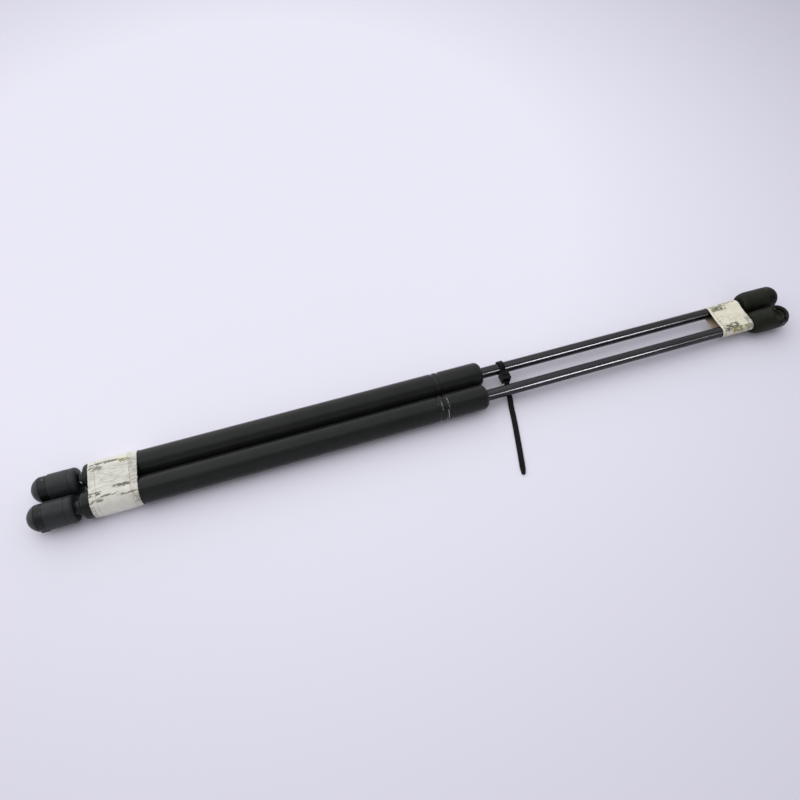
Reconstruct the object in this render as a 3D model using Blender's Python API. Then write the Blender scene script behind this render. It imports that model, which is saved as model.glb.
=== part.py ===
"""Pair of ball-ended gas strut stays, bound together by two tape bands and a cable tie.

Units are metres. +X runs along the struts from the tube ends to the rod ends, +Y points to the
left strut and +Z is up. The origin lies on the underside of the tube tape, midway between the
two struts, so the bundle rests on the plane z = 0.
"""
import math

import bmesh
import bpy
from mathutils import Matrix, Vector

MM = 0.001
GAP = 0.3 * MM                      # clearance kept between touching pieces

# Bundle
STRUT_SPACING = 18.6 * MM           # axis to axis
RIGHT_SHIFT = -3.0 * MM             # the right strut lies this much further back in the bundle
TAPE_THICKNESS = 0.4 * MM
TUBE_RADIUS = 9.0 * MM
ROD_RADIUS = 4.0 * MM
AXIS_HEIGHT = TUBE_RADIUS + GAP + TAPE_THICKNESS

# Pressure tube
TUBE_START = -16.8 * MM
TUBE_END = 254.3 * MM
TUBE_WALL = 1.2 * MM
TUBE_BORE = TUBE_RADIUS - TUBE_WALL
BLIND_END_ROLL = 2.5 * MM           # radius of the rolled-in shoulder
MOUTH_ROLL = 4.2 * MM
MOUTH_LIP_RADIUS = ROD_RADIUS + 0.6 * MM
CRIMP_DEPTH = 0.5 * MM
CRIMP_HALF_WIDTH = 1.3 * MM
CRIMPS_FROM_MOUTH = (36.0 * MM, 31.5 * MM)

# End plug and its stud
PLUG_RADIUS = TUBE_BORE - GAP
PLUG_LENGTH = 10.0 * MM
PLUG_GROOVE_RADIUS = 6.0 * MM
PLUG_GROOVE_HALF_WIDTH = 1.2 * MM
COLLAR_RADIUS = 5.0 * MM
COLLAR_LENGTH = 3.3 * MM            # visible neck between the tube and its socket
PLUG_STUD_RADIUS = 4.0 * MM
PLUG_STUD_LENGTH = 9.3 * MM

# Rod and the pieces on its tail
ROD_START = 211.6 * MM              # shoulder behind the piston
ROD_END = 470.9 * MM                # shoulder under the rod-end socket
ROD_TAIL_RADIUS = 2.5 * MM
ROD_TAIL_LENGTH = 13.0 * MM
ROD_STUD_RADIUS = 3.0 * MM
ROD_STUD_LENGTH = 12.8 * MM
PISTON_RADIUS = 7.3 * MM
PISTON_START = 201.3 * MM
PISTON_END = 209.7 * MM

# Seal pack, listed from the blind end to the mouth
STOP_WASHER = (212.0 * MM, 215.0 * MM)
SEAL_RETAINER = (224.7 * MM, 227.7 * MM)
BACKUP_WASHER = (228.0 * MM, 230.3 * MM)
ROD_SEAL = (230.6 * MM, 237.7 * MM)
ROD_GUIDE = (238.0 * MM, 252.7 * MM)

# Sockets, both kinds
BALL_POCKET_RADIUS = 5.15 * MM      # for a 10 mm ball stud
POCKET_MOUTH_RADIUS = 4.85 * MM
FACE_DROP = 5.5 * MM                # from the ball's centre to the open face
FACE_HALF_LENGTH = 6.9 * MM         # the open face ends here, where the round shank starts
TUBE_BALL_X = -40.6 * MM
ROD_BALL_X = 495.1 * MM
TUBE_SOCKET_RADIUS = 9.0 * MM
ROD_SOCKET_RADIUS = 8.6 * MM
ROD_SOCKET_HEAD_RADIUS = 8.8 * MM
TUBE_SHANK_ROLL = 2.5 * MM
ROD_SHANK_START_RADIUS = 5.5 * MM
ROD_SHANK_FLARE = 7.5 * MM          # length over which the shank widens

# Spring clip across a socket's back
CLIP_WIDTH = 5.0 * MM
CLIP_THICKNESS = 0.8 * MM
CLIP_INNER_RADIUS = 7.75 * MM
CLIP_LEG = 4.4 * MM                 # how far the legs reach below the ball's centre
CLIP_JAW_WIDTH = 3.0 * MM
CLIP_JAW_TIP = 3.6 * MM             # distance of a jaw's tip from the middle
CLIP_LIFT = 2.5 * MM                # travel that frees the ball

# Tape bands and tie
TUBE_TAPE = (-14.0 * MM, 16.6 * MM)
ROD_TAPE = (441.7 * MM, 467.8 * MM)
TIE_X = 270.0 * MM
TIE_WIDTH = 3.8 * MM
TIE_THICKNESS = 1.1 * MM
TIE_HEAD = Vector((6.4, 6.8, 6.6)) * MM
TIE_TAIL_TIP = Vector((255.3, -69.2)) * MM

SEGMENTS = 24
INNER_SEGMENTS = 16
ARC_STEPS = 4
FULL_TURN = 2 * math.pi


def clear_scene():
    for obj in list(bpy.data.objects):
        bpy.data.objects.remove(obj, do_unlink=True)


def make_material(name, color, roughness, metallic=0.0):
    material = bpy.data.materials.new(name)
    material.use_nodes = True
    shader = material.node_tree.nodes["Principled BSDF"]
    shader.inputs["Base Color"].default_value = (*color, 1.0)
    shader.inputs["Roughness"].default_value = roughness
    shader.inputs["Metallic"].default_value = metallic
    return material


def make_empty(name, location):
    empty = bpy.data.objects.new(name, None)
    empty.empty_display_size = 0.01
    empty.location = location
    bpy.context.collection.objects.link(empty)
    return empty


def mesh_from_bmesh(name, bm):
    bmesh.ops.remove_doubles(bm, verts=bm.verts, dist=1e-7)
    bmesh.ops.recalc_face_normals(bm, faces=bm.faces)
    mesh = bpy.data.meshes.new(name)
    bm.to_mesh(mesh)
    bm.free()
    mesh.shade_smooth()
    mesh.set_sharp_from_angle(angle=math.radians(35))
    return mesh


def place(name, mesh, material, parent=None, x=0.0, turn=0.0):
    """Link a mesh as a named piece, x along its parent's axis and turned about that axis."""
    mesh.materials.clear()
    mesh.materials.append(material)
    obj = bpy.data.objects.new(name, mesh)
    bpy.context.collection.objects.link(obj)
    obj.parent = parent
    obj.location = (x, 0.0, 0.0)
    obj.rotation_euler = (turn, 0.0, 0.0)
    return obj


def arc(center, radius, start_deg, end_deg, steps=ARC_STEPS):
    """Points of an arc in the (along, out) plane, with both ends."""
    points = []
    for i in range(steps + 1):
        angle = math.radians(start_deg + (end_deg - start_deg) * i / steps)
        points.append((center[0] + radius * math.cos(angle), center[1] + radius * math.sin(angle)))
    return points


def turned(name, profile, axis="X", segments=SEGMENTS):
    """Spin a profile of (along, radius) points about an axis into a closed solid.

    A profile whose two ends lie on the axis is left open there; any other is joined into a ring.
    """
    bm = bmesh.new()
    along = Vector((1, 0, 0)) if axis == "X" else Vector((0, 0, 1))
    out = Vector((0, 0, 1)) if axis == "X" else Vector((1, 0, 0))
    verts = [bm.verts.new(along * a + out * r) for a, r in profile]
    for first, second in zip(verts, verts[1:]):
        bm.edges.new((first, second))
    on_axis = profile[0][1] == 0.0 and profile[-1][1] == 0.0
    if not on_axis:
        bm.edges.new((verts[-1], verts[0]))
    bmesh.ops.spin(bm, geom=list(bm.verts) + list(bm.edges), cent=(0, 0, 0), axis=along,
                   angle=FULL_TURN, steps=segments, use_merge=True, use_duplicate=False)
    return mesh_from_bmesh(name, bm)


def extruded(name, outline, start, end):
    """Extrude a closed (y, z) outline along X from start to end."""
    bm = bmesh.new()
    base = [bm.verts.new((start, y, z)) for y, z in outline]
    face = bm.faces.new(base)
    moved = bmesh.ops.extrude_face_region(bm, geom=[face])["geom"]
    shift = Vector((end - start, 0, 0))
    bmesh.ops.translate(bm, verts=[v for v in moved if isinstance(v, bmesh.types.BMVert)], vec=shift)
    return mesh_from_bmesh(name, bm)


def box(name, low, high):
    bm = bmesh.new()
    low, high = Vector(low), Vector(high)
    size = high - low
    matrix = Matrix.Translation((low + high) / 2) @ Matrix.Diagonal((*size, 1.0))
    bmesh.ops.create_cube(bm, size=1.0, matrix=matrix)
    return mesh_from_bmesh(name, bm)


def combined(name, base, changes):
    """Apply a list of (operation, mesh) Booleans to a base mesh and return the new mesh."""
    work = bpy.data.objects.new(name, base)
    bpy.context.collection.objects.link(work)
    tools = []
    for operation, mesh in changes:
        tool = bpy.data.objects.new(name + "_tool", mesh)
        bpy.context.collection.objects.link(tool)
        modifier = work.modifiers.new(operation.lower(), "BOOLEAN")
        modifier.operation = operation
        modifier.solver = "EXACT"
        modifier.object = tool
        tools.append(tool)
    bpy.context.view_layer.update()
    evaluated = work.evaluated_get(bpy.context.evaluated_depsgraph_get())
    result = bpy.data.meshes.new_from_object(evaluated)
    for obj in [work, *tools]:
        bpy.data.objects.remove(obj, do_unlink=True)
    bm = bmesh.new()
    bm.from_mesh(result)
    bpy.data.meshes.remove(result)
    return mesh_from_bmesh(name, bm)


# ---------------------------------------------------------------- turned pieces

def ring(name, span, outer, inner, segments=INNER_SEGMENTS):
    start, end = span
    return turned(name, [(start, inner), (start, outer), (end, outer), (end, inner)],
                  segments=segments)


def tube_mesh():
    crimps = [TUBE_END - back for back in CRIMPS_FROM_MOUTH]
    outer = [(TUBE_START, COLLAR_RADIUS + GAP)]
    outer += arc((TUBE_START + BLIND_END_ROLL, TUBE_RADIUS - BLIND_END_ROLL), BLIND_END_ROLL, 180, 90)
    inner = [(TUBE_START + TUBE_WALL, COLLAR_RADIUS + GAP),
             (TUBE_START + TUBE_WALL, TUBE_BORE)]
    for x in crimps:
        for points, radius in ((outer, TUBE_RADIUS), (inner, TUBE_BORE)):
            points += [(x - CRIMP_HALF_WIDTH, radius),
                       (x - 0.4 * CRIMP_HALF_WIDTH, radius - CRIMP_DEPTH),
                       (x + 0.4 * CRIMP_HALF_WIDTH, radius - CRIMP_DEPTH),
                       (x + CRIMP_HALF_WIDTH, radius)]
    outer += arc((TUBE_END - MOUTH_ROLL, TUBE_RADIUS - MOUTH_ROLL), MOUTH_ROLL, 90, 0)
    outer.append((TUBE_END, MOUTH_LIP_RADIUS))
    inner_roll = MOUTH_ROLL - TUBE_WALL
    inner += arc((TUBE_END - MOUTH_ROLL, TUBE_BORE - inner_roll), inner_roll, 90, 0, 3)
    inner.append((TUBE_END - TUBE_WALL, MOUTH_LIP_RADIUS))
    return turned("tube", outer + inner[::-1])


def end_plug_mesh():
    body_start = TUBE_START + TUBE_WALL + GAP
    body_end = body_start + PLUG_LENGTH
    middle = (body_start + body_end) / 2
    collar_start = TUBE_START - COLLAR_LENGTH
    stud_start = collar_start - PLUG_STUD_LENGTH
    profile = [(stud_start, 0.0), (stud_start, PLUG_STUD_RADIUS), (collar_start, PLUG_STUD_RADIUS),
               (collar_start, COLLAR_RADIUS), (body_start, COLLAR_RADIUS), (body_start, PLUG_RADIUS),
               (middle - PLUG_GROOVE_HALF_WIDTH, PLUG_RADIUS),
               (middle - PLUG_GROOVE_HALF_WIDTH, PLUG_GROOVE_RADIUS),
               (middle + PLUG_GROOVE_HALF_WIDTH, PLUG_GROOVE_RADIUS),
               (middle + PLUG_GROOVE_HALF_WIDTH, PLUG_RADIUS),
               (body_end, PLUG_RADIUS), (body_end, 0.0)]
    return turned("end_plug", profile, segments=INNER_SEGMENTS)


def plug_o_ring_mesh():
    middle = TUBE_START + TUBE_WALL + GAP + PLUG_LENGTH / 2
    radius = (PLUG_GROOVE_RADIUS + TUBE_BORE) / 2
    section = (TUBE_BORE - PLUG_GROOVE_RADIUS) / 2 - GAP
    profile = arc((middle, radius), section, 0, 360, 6)[:-1]
    return turned("plug_o_ring", profile, segments=INNER_SEGMENTS)


def piston_rod_mesh():
    tail_start = ROD_START - ROD_TAIL_LENGTH
    stud_end = ROD_END + ROD_STUD_LENGTH
    profile = [(tail_start, 0.0), (tail_start, ROD_TAIL_RADIUS), (ROD_START, ROD_TAIL_RADIUS),
               (ROD_START, ROD_RADIUS), (ROD_END, ROD_RADIUS), (ROD_END, ROD_STUD_RADIUS),
               (stud_end, ROD_STUD_RADIUS), (stud_end, 0.0)]
    return turned("piston_rod", profile, segments=INNER_SEGMENTS)


def piston_mesh():
    bore = ROD_TAIL_RADIUS + GAP
    middle = (PISTON_START + PISTON_END) / 2
    groove = PISTON_RADIUS - 1.2 * MM
    half = 1.5 * MM
    profile = [(PISTON_START, bore), (PISTON_START, PISTON_RADIUS), (middle - half, PISTON_RADIUS),
               (middle - half, groove), (middle + half, groove), (middle + half, PISTON_RADIUS),
               (PISTON_END, PISTON_RADIUS), (PISTON_END, bore)]
    return turned("piston", profile, segments=INNER_SEGMENTS)


def piston_ring_mesh():
    middle = (PISTON_START + PISTON_END) / 2
    half = 1.5 * MM - GAP
    return ring("piston_ring", (middle - half, middle + half), PISTON_RADIUS + 0.2 * MM,
                PISTON_RADIUS - 1.2 * MM + GAP)


def rod_seal_mesh():
    start, end = ROD_SEAL
    outer = TUBE_BORE - GAP
    inner = ROD_RADIUS + GAP
    notch = (outer + inner) / 2
    profile = [(start, inner), (start, notch - 0.7 * MM), (start + 2.5 * MM, notch),
               (start, notch + 0.7 * MM), (start, outer), (end, outer), (end, inner)]
    return turned("rod_seal", profile, segments=INNER_SEGMENTS)


def rod_guide_mesh():
    start, end = ROD_GUIDE
    outer = TUBE_BORE - GAP
    inner = ROD_RADIUS + GAP
    chamfer = 2.6 * MM
    profile = [(start, inner), (start, outer), (end - chamfer, outer), (end, outer - chamfer),
               (end, inner)]
    return turned("rod_guide", profile, segments=INNER_SEGMENTS)


# ---------------------------------------------------------------- sockets and clips

def clip_outline(inner, outer, leg):
    """Outline in (y, z) of a band that arches over the ball pocket and runs straight down."""
    over = arc((0, 0), outer, 0, 180, 12)
    under = arc((0, 0), inner, 180, 0, 12)
    return [(outer, -leg), *over, (-outer, -leg), (-inner, -leg), *under, (inner, -leg)]


def pocket_cutters():
    """Meshes that cut the open face, the ball pocket, the clip's groove and the jaw slots."""
    reach = 12 * MM
    face = box("face", (-reach, -reach, -reach), (FACE_HALF_LENGTH, reach, -FACE_DROP))
    mouth_angle = -math.degrees(math.acos(POCKET_MOUTH_RADIUS / BALL_POCKET_RADIUS))
    bowl = [(r, z) for r, z in arc((0, 0), BALL_POCKET_RADIUS, mouth_angle, 90, 6)]
    profile = [(-reach, 0.0), (-reach, POCKET_MOUTH_RADIUS)]
    profile += [(z, r) for r, z in bowl[:-1]] + [(BALL_POCKET_RADIUS, 0.0)]
    pocket = turned("pocket", profile, axis="Z", segments=INNER_SEGMENTS)
    floor = CLIP_INNER_RADIUS - GAP
    groove_half = CLIP_WIDTH / 2 + GAP
    groove = extruded("groove", clip_outline(floor, reach, reach), -groove_half, groove_half)
    slot_half = CLIP_JAW_WIDTH / 2 + 0.4 * MM
    slot_top = CLIP_LIFT - CLIP_LEG + CLIP_THICKNESS + GAP
    slot = box("slot", (-slot_half, -reach, -reach), (slot_half, reach, slot_top))
    return [("DIFFERENCE", face), ("DIFFERENCE", pocket), ("DIFFERENCE", groove),
            ("DIFFERENCE", slot)]


def tube_end_socket_mesh():
    """Socket with its ball centre at the origin and its shank along +X, open face down."""
    shank_end = TUBE_START - COLLAR_LENGTH - GAP - TUBE_BALL_X
    bore = PLUG_STUD_RADIUS + GAP
    bore_end = shank_end - PLUG_STUD_LENGTH - GAP
    roll = TUBE_SHANK_ROLL
    radius = TUBE_SOCKET_RADIUS
    profile = [(-radius, 0.0)] + arc((0, 0), radius, 180, 90, 7)[1:]
    profile += arc((shank_end - roll, radius - roll), roll, 90, 0)
    profile += [(shank_end, bore), (bore_end, bore), (bore_end, 0.0)]
    body = turned("tube_end_socket", profile)
    return combined("tube_end_socket", body, pocket_cutters())


def rod_end_socket_mesh():
    """Socket with its ball centre at the origin and its shank along +X, open face down."""
    shank_end = ROD_BALL_X - ROD_END - GAP
    bore = ROD_STUD_RADIUS + GAP
    bore_end = shank_end - ROD_STUD_LENGTH
    head = ROD_SOCKET_HEAD_RADIUS
    meet = math.degrees(math.asin(ROD_SOCKET_RADIUS / head))
    profile = [(-head, 0.0)] + arc((0, 0), head, 180, meet, 7)[1:]
    flare = ROD_SHANK_FLARE
    rise = ROD_SOCKET_RADIUS - ROD_SHANK_START_RADIUS
    for i in range(ARC_STEPS + 1):
        angle = math.radians(90 * i / ARC_STEPS)
        profile.append((shank_end - flare + flare * math.sin(angle),
                        ROD_SHANK_START_RADIUS + rise * math.cos(angle)))
    profile += [(shank_end, bore), (bore_end, bore), (bore_end, 0.0)]
    body = turned("rod_end_socket", profile)
    return combined("rod_end_socket", body, pocket_cutters())


def clip_mesh():
    """Retaining clip in the socket's own frame: an arch over the back with two inward jaws."""
    outer = CLIP_INNER_RADIUS + CLIP_THICKNESS
    half = CLIP_WIDTH / 2
    band = extruded("clip", clip_outline(CLIP_INNER_RADIUS, outer, CLIP_LEG), -half, half)
    jaws = []
    for side in (-1, 1):
        near, far = sorted((side * CLIP_JAW_TIP, side * (outer - CLIP_THICKNESS / 2)))
        jaws.append(("UNION", box("jaw", (-CLIP_JAW_WIDTH / 2, near, -CLIP_LEG + 0.05 * MM),
                                  (CLIP_JAW_WIDTH / 2, far, -CLIP_LEG + CLIP_THICKNESS))))
    return combined("clip", band, jaws)


# ---------------------------------------------------------------- tapes and tie

def stadium(radius, y_half, z):
    """Closed outline round two equal circles side by side, counted from the right one's foot."""
    right = arc((-y_half, z), radius, 270, 90, 10)
    left = arc((y_half, z), radius, 90, -90, 10)
    return right + left


def tape_mesh(name, span, core_radius):
    """Thin sleeve that wraps two parallel round bars."""
    start, end = span
    inner = stadium(core_radius + GAP, STRUT_SPACING / 2, AXIS_HEIGHT)
    outer = stadium(core_radius + GAP + TAPE_THICKNESS, STRUT_SPACING / 2, AXIS_HEIGHT)
    bm = bmesh.new()
    loops = []
    for x, outline in ((start, outer), (end, outer), (end, inner), (start, inner)):
        verts = [bm.verts.new((x, y, z)) for y, z in outline]
        edges = [bm.edges.new((a, b)) for a, b in zip(verts, verts[1:] + verts[:1])]
        loops.append(edges)
    for first, second in zip(loops, loops[1:] + loops[:1]):
        bmesh.ops.bridge_loops(bm, edges=first + second)
    return mesh_from_bmesh(name, bm)


def ribbon_mesh(name, centres, across, width, thickness):
    """Sweep a flat rectangular strap through centres; across gives its width direction."""
    bm = bmesh.new()
    rows = []
    for i, centre in enumerate(centres):
        ahead = centres[min(i + 1, len(centres) - 1)] - centres[max(i - 1, 0)]
        side = across[i].normalized()
        normal = ahead.cross(side).normalized()
        corners = [(-1, -1), (1, -1), (1, 1), (-1, 1)]
        rows.append([bm.verts.new(centre + side * (width / 2 * u) + normal * (thickness / 2 * v))
                     for u, v in corners])
    for first, second in zip(rows, rows[1:]):
        for i in range(4):
            j = (i + 1) % 4
            bm.faces.new((first[i], first[j], second[j], second[i]))
    bm.faces.new(rows[0])
    bm.faces.new(rows[-1])
    return mesh_from_bmesh(name, bm)


def tie_loop_path():
    """Strap round the left rod, both ends inside the tie's head."""
    radius = ROD_RADIUS + GAP + TIE_THICKNESS / 2
    centre = Vector((TIE_X, STRUT_SPACING / 2, AXIS_HEIGHT))
    points = []
    for i in range(19):
        angle = math.radians(158 - 316 * i / 18)
        points.append(centre + Vector((0, math.cos(angle), math.sin(angle))) * radius)
    return points


def tie_tail_path():
    """Strap from the head, down under the right rod, then along the table to its tip."""
    head_y = STRUT_SPACING / 2 - ROD_RADIUS - GAP - TIE_HEAD.y
    floor = TIE_THICKNESS / 2
    controls = [Vector((TIE_X, head_y + 2.0 * MM, AXIS_HEIGHT - 1.2 * MM)),
                Vector((TIE_X, head_y - 1.2 * MM, AXIS_HEIGHT - 1.6 * MM)),
                Vector((TIE_X, head_y - 4.8 * MM, AXIS_HEIGHT - 5.6 * MM)),
                Vector((TIE_X, -9.3 * MM, 2.6 * MM)),
                Vector((TIE_X - 0.6 * MM, -13.6 * MM, floor + 0.5 * MM)),
                Vector((TIE_X - 1.8 * MM, -18.5 * MM, floor)),
                Vector((TIE_X - 4.4 * MM, -30.0 * MM, floor)),
                Vector((TIE_X - 9.0 * MM, -48.0 * MM, floor)),
                Vector((TIE_TAIL_TIP.x, TIE_TAIL_TIP.y, floor))]
    points = []
    last = len(controls) - 1
    for i in range(last):
        before, start = controls[max(i - 1, 0)], controls[i]
        end, after = controls[i + 1], controls[min(i + 2, last)]
        for step in range(3):
            t = step / 3
            points.append(0.5 * ((2 * start) + (end - before) * t
                                 + (2 * before - 5 * start + 4 * end - after) * t ** 2
                                 + (3 * start - before - 3 * end + after) * t ** 3))
    points.append(controls[-1])
    return points


def cable_tie_mesh():
    head_low_y = STRUT_SPACING / 2 - ROD_RADIUS - GAP - TIE_HEAD.y
    low = Vector((TIE_X - TIE_HEAD.x / 2, head_low_y, AXIS_HEIGHT - TIE_HEAD.z / 2))
    head = box("tie_head", low, low + TIE_HEAD)
    loop_points = tie_loop_path()
    along_x = Vector((1, 0, 0))
    loop = ribbon_mesh("tie_loop", loop_points, [along_x] * len(loop_points), TIE_WIDTH, TIE_THICKNESS)
    tail_points = tie_tail_path()
    across = []
    for i in range(len(tail_points)):
        ahead = tail_points[min(i + 1, len(tail_points) - 1)] - tail_points[max(i - 1, 0)]
        flat = Vector((ahead.x, ahead.y, 0.0))
        across.append(Vector((-flat.y, flat.x, 0.0)))
    tail = ribbon_mesh("tie_tail", tail_points, across, TIE_WIDTH, TIE_THICKNESS)
    return combined("cable_tie", head, [("UNION", loop), ("UNION", tail)])


# ---------------------------------------------------------------- assembly

def build_strut(side, y, shift, materials, meshes, rod_socket_turn):
    """One complete strut: its fixed pieces on one empty, its moving rod group on another."""
    fixed = make_empty(side + "_tube_axis", (shift, y, AXIS_HEIGHT))
    moving = make_empty(side + "_rod_axis", (shift, y, AXIS_HEIGHT))
    fixed_pieces = ("tube", "end_plug", "plug_o_ring", "stop_washer", "seal_retainer",
                    "backup_washer", "rod_seal", "rod_guide")
    moving_pieces = ("piston_rod", "piston", "piston_ring", "piston_washer", "piston_nut")
    for parent, pieces in ((fixed, fixed_pieces), (moving, moving_pieces)):
        for piece in pieces:
            place(f"{side}_{piece}", meshes[piece].copy(), materials[piece], parent)
    half_turn = math.pi
    ends = (("tube_end", fixed, TUBE_BALL_X, 0.0, 0.0),
            ("rod_end", moving, ROD_BALL_X, half_turn, rod_socket_turn))
    for end, parent, x, yaw, turn in ends:
        for piece, mesh in (("socket", meshes[end + "_socket"]), ("clip", meshes["clip"])):
            obj = place(f"{side}_{end}_{piece}", mesh.copy(), materials[piece], parent, x)
            obj.rotation_euler = (turn, 0.0, yaw)


def build():
    clear_scene()
    steel = make_material("zinc_steel", (0.55, 0.55, 0.53), 0.35, 1.0)
    rubber = make_material("nitrile_rubber", (0.02, 0.02, 0.02), 0.7)
    plastic = make_material("socket_plastic", (0.020, 0.022, 0.022), 0.5)
    tape = make_material("masking_tape", (0.62, 0.58, 0.46), 0.8)
    materials = {
        "tube": make_material("black_paint", (0.016, 0.018, 0.018), 0.4),
        "end_plug": steel,
        "plug_o_ring": rubber,
        "stop_washer": make_material("bump_rubber", (0.03, 0.03, 0.03), 0.8),
        "seal_retainer": steel,
        "backup_washer": make_material("brass_washer", (0.60, 0.45, 0.20), 0.4, 1.0),
        "rod_seal": rubber,
        "rod_guide": make_material("guide_nylon", (0.25, 0.24, 0.22), 0.5),
        "piston_rod": make_material("rod_steel", (0.22, 0.22, 0.21), 0.3, 1.0),
        "piston": make_material("piston_alloy", (0.50, 0.50, 0.50), 0.4, 1.0),
        "piston_ring": make_material("ptfe_ring", (0.70, 0.69, 0.65), 0.5),
        "piston_washer": steel,
        "piston_nut": steel,
        "socket": plastic,
        "clip": make_material("clip_steel", (0.05, 0.05, 0.05), 0.4, 0.8),
    }
    bore = TUBE_BORE - GAP
    meshes = {
        "tube": tube_mesh(),
        "end_plug": end_plug_mesh(),
        "plug_o_ring": plug_o_ring_mesh(),
        "stop_washer": ring("stop_washer", STOP_WASHER, bore, ROD_RADIUS + 0.5 * MM),
        "seal_retainer": ring("seal_retainer", SEAL_RETAINER, bore, ROD_RADIUS + 1.0 * MM),
        "backup_washer": ring("backup_washer", BACKUP_WASHER, bore, ROD_RADIUS + 0.5 * MM),
        "rod_seal": rod_seal_mesh(),
        "rod_guide": rod_guide_mesh(),
        "piston_rod": piston_rod_mesh(),
        "piston": piston_mesh(),
        "piston_ring": piston_ring_mesh(),
        "piston_washer": ring("piston_washer", (PISTON_END + GAP, ROD_START - GAP), 6.4 * MM,
                              ROD_TAIL_RADIUS + GAP),
        "piston_nut": ring("piston_nut", (PISTON_START - 2.7 * MM, PISTON_START - GAP), 4.4 * MM,
                           ROD_TAIL_RADIUS + GAP),
        "tube_end_socket": tube_end_socket_mesh(),
        "rod_end_socket": rod_end_socket_mesh(),
        "clip": clip_mesh(),
    }
    half = STRUT_SPACING / 2
    build_strut("left", half, 0.0, materials, meshes, rod_socket_turn=0.0)
    build_strut("right", -half, RIGHT_SHIFT, materials, meshes, rod_socket_turn=math.pi)
    place("tube_tape", tape_mesh("tube_tape", TUBE_TAPE, TUBE_RADIUS), tape)
    place("rod_tape", tape_mesh("rod_tape", ROD_TAPE, ROD_RADIUS), tape)
    place("cable_tie", cable_tie_mesh(), make_material("tie_nylon", (0.015, 0.016, 0.016), 0.45))


build()
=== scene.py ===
"""Looks for a taped and tied pair of ball-ended gas strut stays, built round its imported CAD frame.

Units are metres; +X runs along the struts to the rod ends, +Y to the left (far) strut, +Z up.
"""
import math

import bmesh
import bpy
import numpy as np
from mathutils import Matrix, Vector, noise


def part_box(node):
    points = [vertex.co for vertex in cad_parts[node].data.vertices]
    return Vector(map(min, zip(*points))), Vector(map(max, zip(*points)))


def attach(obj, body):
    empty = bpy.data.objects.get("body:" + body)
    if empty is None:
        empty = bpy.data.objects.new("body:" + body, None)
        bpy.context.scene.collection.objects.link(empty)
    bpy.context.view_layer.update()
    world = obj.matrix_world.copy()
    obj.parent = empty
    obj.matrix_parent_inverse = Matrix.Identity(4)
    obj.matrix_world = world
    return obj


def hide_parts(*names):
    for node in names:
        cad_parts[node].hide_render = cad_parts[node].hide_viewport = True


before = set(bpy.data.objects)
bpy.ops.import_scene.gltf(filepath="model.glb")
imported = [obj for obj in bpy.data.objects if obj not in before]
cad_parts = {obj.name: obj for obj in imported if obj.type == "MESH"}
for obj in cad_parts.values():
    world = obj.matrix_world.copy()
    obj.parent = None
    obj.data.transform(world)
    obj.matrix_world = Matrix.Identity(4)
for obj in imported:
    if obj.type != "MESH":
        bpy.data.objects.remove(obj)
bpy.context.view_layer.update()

MM = 0.001

# ---------------------------------------------------------------- sizes read from the frame
SIDES = ("left", "right")
tube_low, tube_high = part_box("left_tube")
right_low, right_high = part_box("right_tube")
AXIS_Y = {"left": (tube_low.y + tube_high.y) / 2, "right": (right_low.y + right_high.y) / 2}
AXIS_Z = (tube_low.z + tube_high.z) / 2
SHIFT = {"left": 0.0, "right": right_low.x - tube_low.x}
TUBE_RADIUS = (tube_high.z - tube_low.z) / 2
TUBE_START, TUBE_END = tube_low.x, tube_high.x
rod_low, rod_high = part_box("left_piston_rod")
ROD_RADIUS = (rod_high.z - rod_low.z) / 2

# Sizes that the CAD source sets and no box gives
EDGE_CHAMFER = 0.5 * MM
TUBE_WALL = 1.2 * MM
CRIMPS_FROM_MOUTH = (36.0 * MM, 31.5 * MM)
CRIMP_DEPTH = 0.5 * MM
MOUTH_ROLL = 4.2 * MM
BLIND_END_ROLL = 2.5 * MM
MOUTH_LIP_RADIUS = ROD_RADIUS + 0.6 * MM
COLLAR_RADIUS = 5.0 * MM
COLLAR_LENGTH = 3.3 * MM
PLUG_BODY_LENGTH = 10.0 * MM
PLUG_GROOVE_RADIUS = 6.0 * MM
PLUG_GROOVE_HALF_WIDTH = 1.2 * MM
PLUG_STUD_RADIUS = 4.0 * MM
PLUG_STUD_LENGTH = 9.3 * MM
PLUG_THREAD_PITCH = 1.25 * MM
ROD_SHOULDER = 211.6 * MM      # where the reduced tail for the piston starts
ROD_TAIL_LENGTH = 13.0 * MM
ROD_TAIL_RADIUS = 2.5 * MM
ROD_END = 470.9 * MM
ROD_STUD_RADIUS = 3.0 * MM
ROD_STUD_LENGTH = 12.8 * MM
ROD_THREAD_PITCH = 1.0 * MM
BALL_X = {"tube_end": -40.6 * MM, "rod_end": 495.1 * MM}
TUBE_END_SOCKET_RADIUS = 9.0 * MM
TUBE_END_SOCKET_BORE_DEPTH = 9.6 * MM
ROD_END_SOCKET_RADIUS = 8.6 * MM
ROD_END_SOCKET_HEAD_RADIUS = 8.8 * MM
ROD_END_SOCKET_NECK_RADIUS = 5.5 * MM
ROD_END_SOCKET_NECK_LENGTH = 7.5 * MM
POCKET_RADIUS = 5.15 * MM
POCKET_MOUTH_RADIUS = 4.85 * MM
FACE_DROP = 5.5 * MM
FACE_HALF_LENGTH = 6.9 * MM
CLIP_WIDTH = 5.0 * MM
CLIP_THICKNESS = 0.8 * MM
CLIP_INNER_RADIUS = 7.75 * MM
CLIP_LEG = 4.4 * MM
CLIP_JAW_WIDTH = 3.0 * MM
CLIP_JAW_TIP = 3.6 * MM
CLIP_LIFT = 2.5 * MM
GAP = 0.3 * MM
CLIP_FIT = 0.1 * MM
TIE_X = 270.0 * MM
TIE_WIDTH = 3.8 * MM
TIE_THICKNESS = 1.1 * MM
TIE_HEAD = Vector((6.4, 6.8, 6.6)) * MM
TIE_TIP = Vector((255.3, -69.2, 0.0)) * MM

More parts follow.
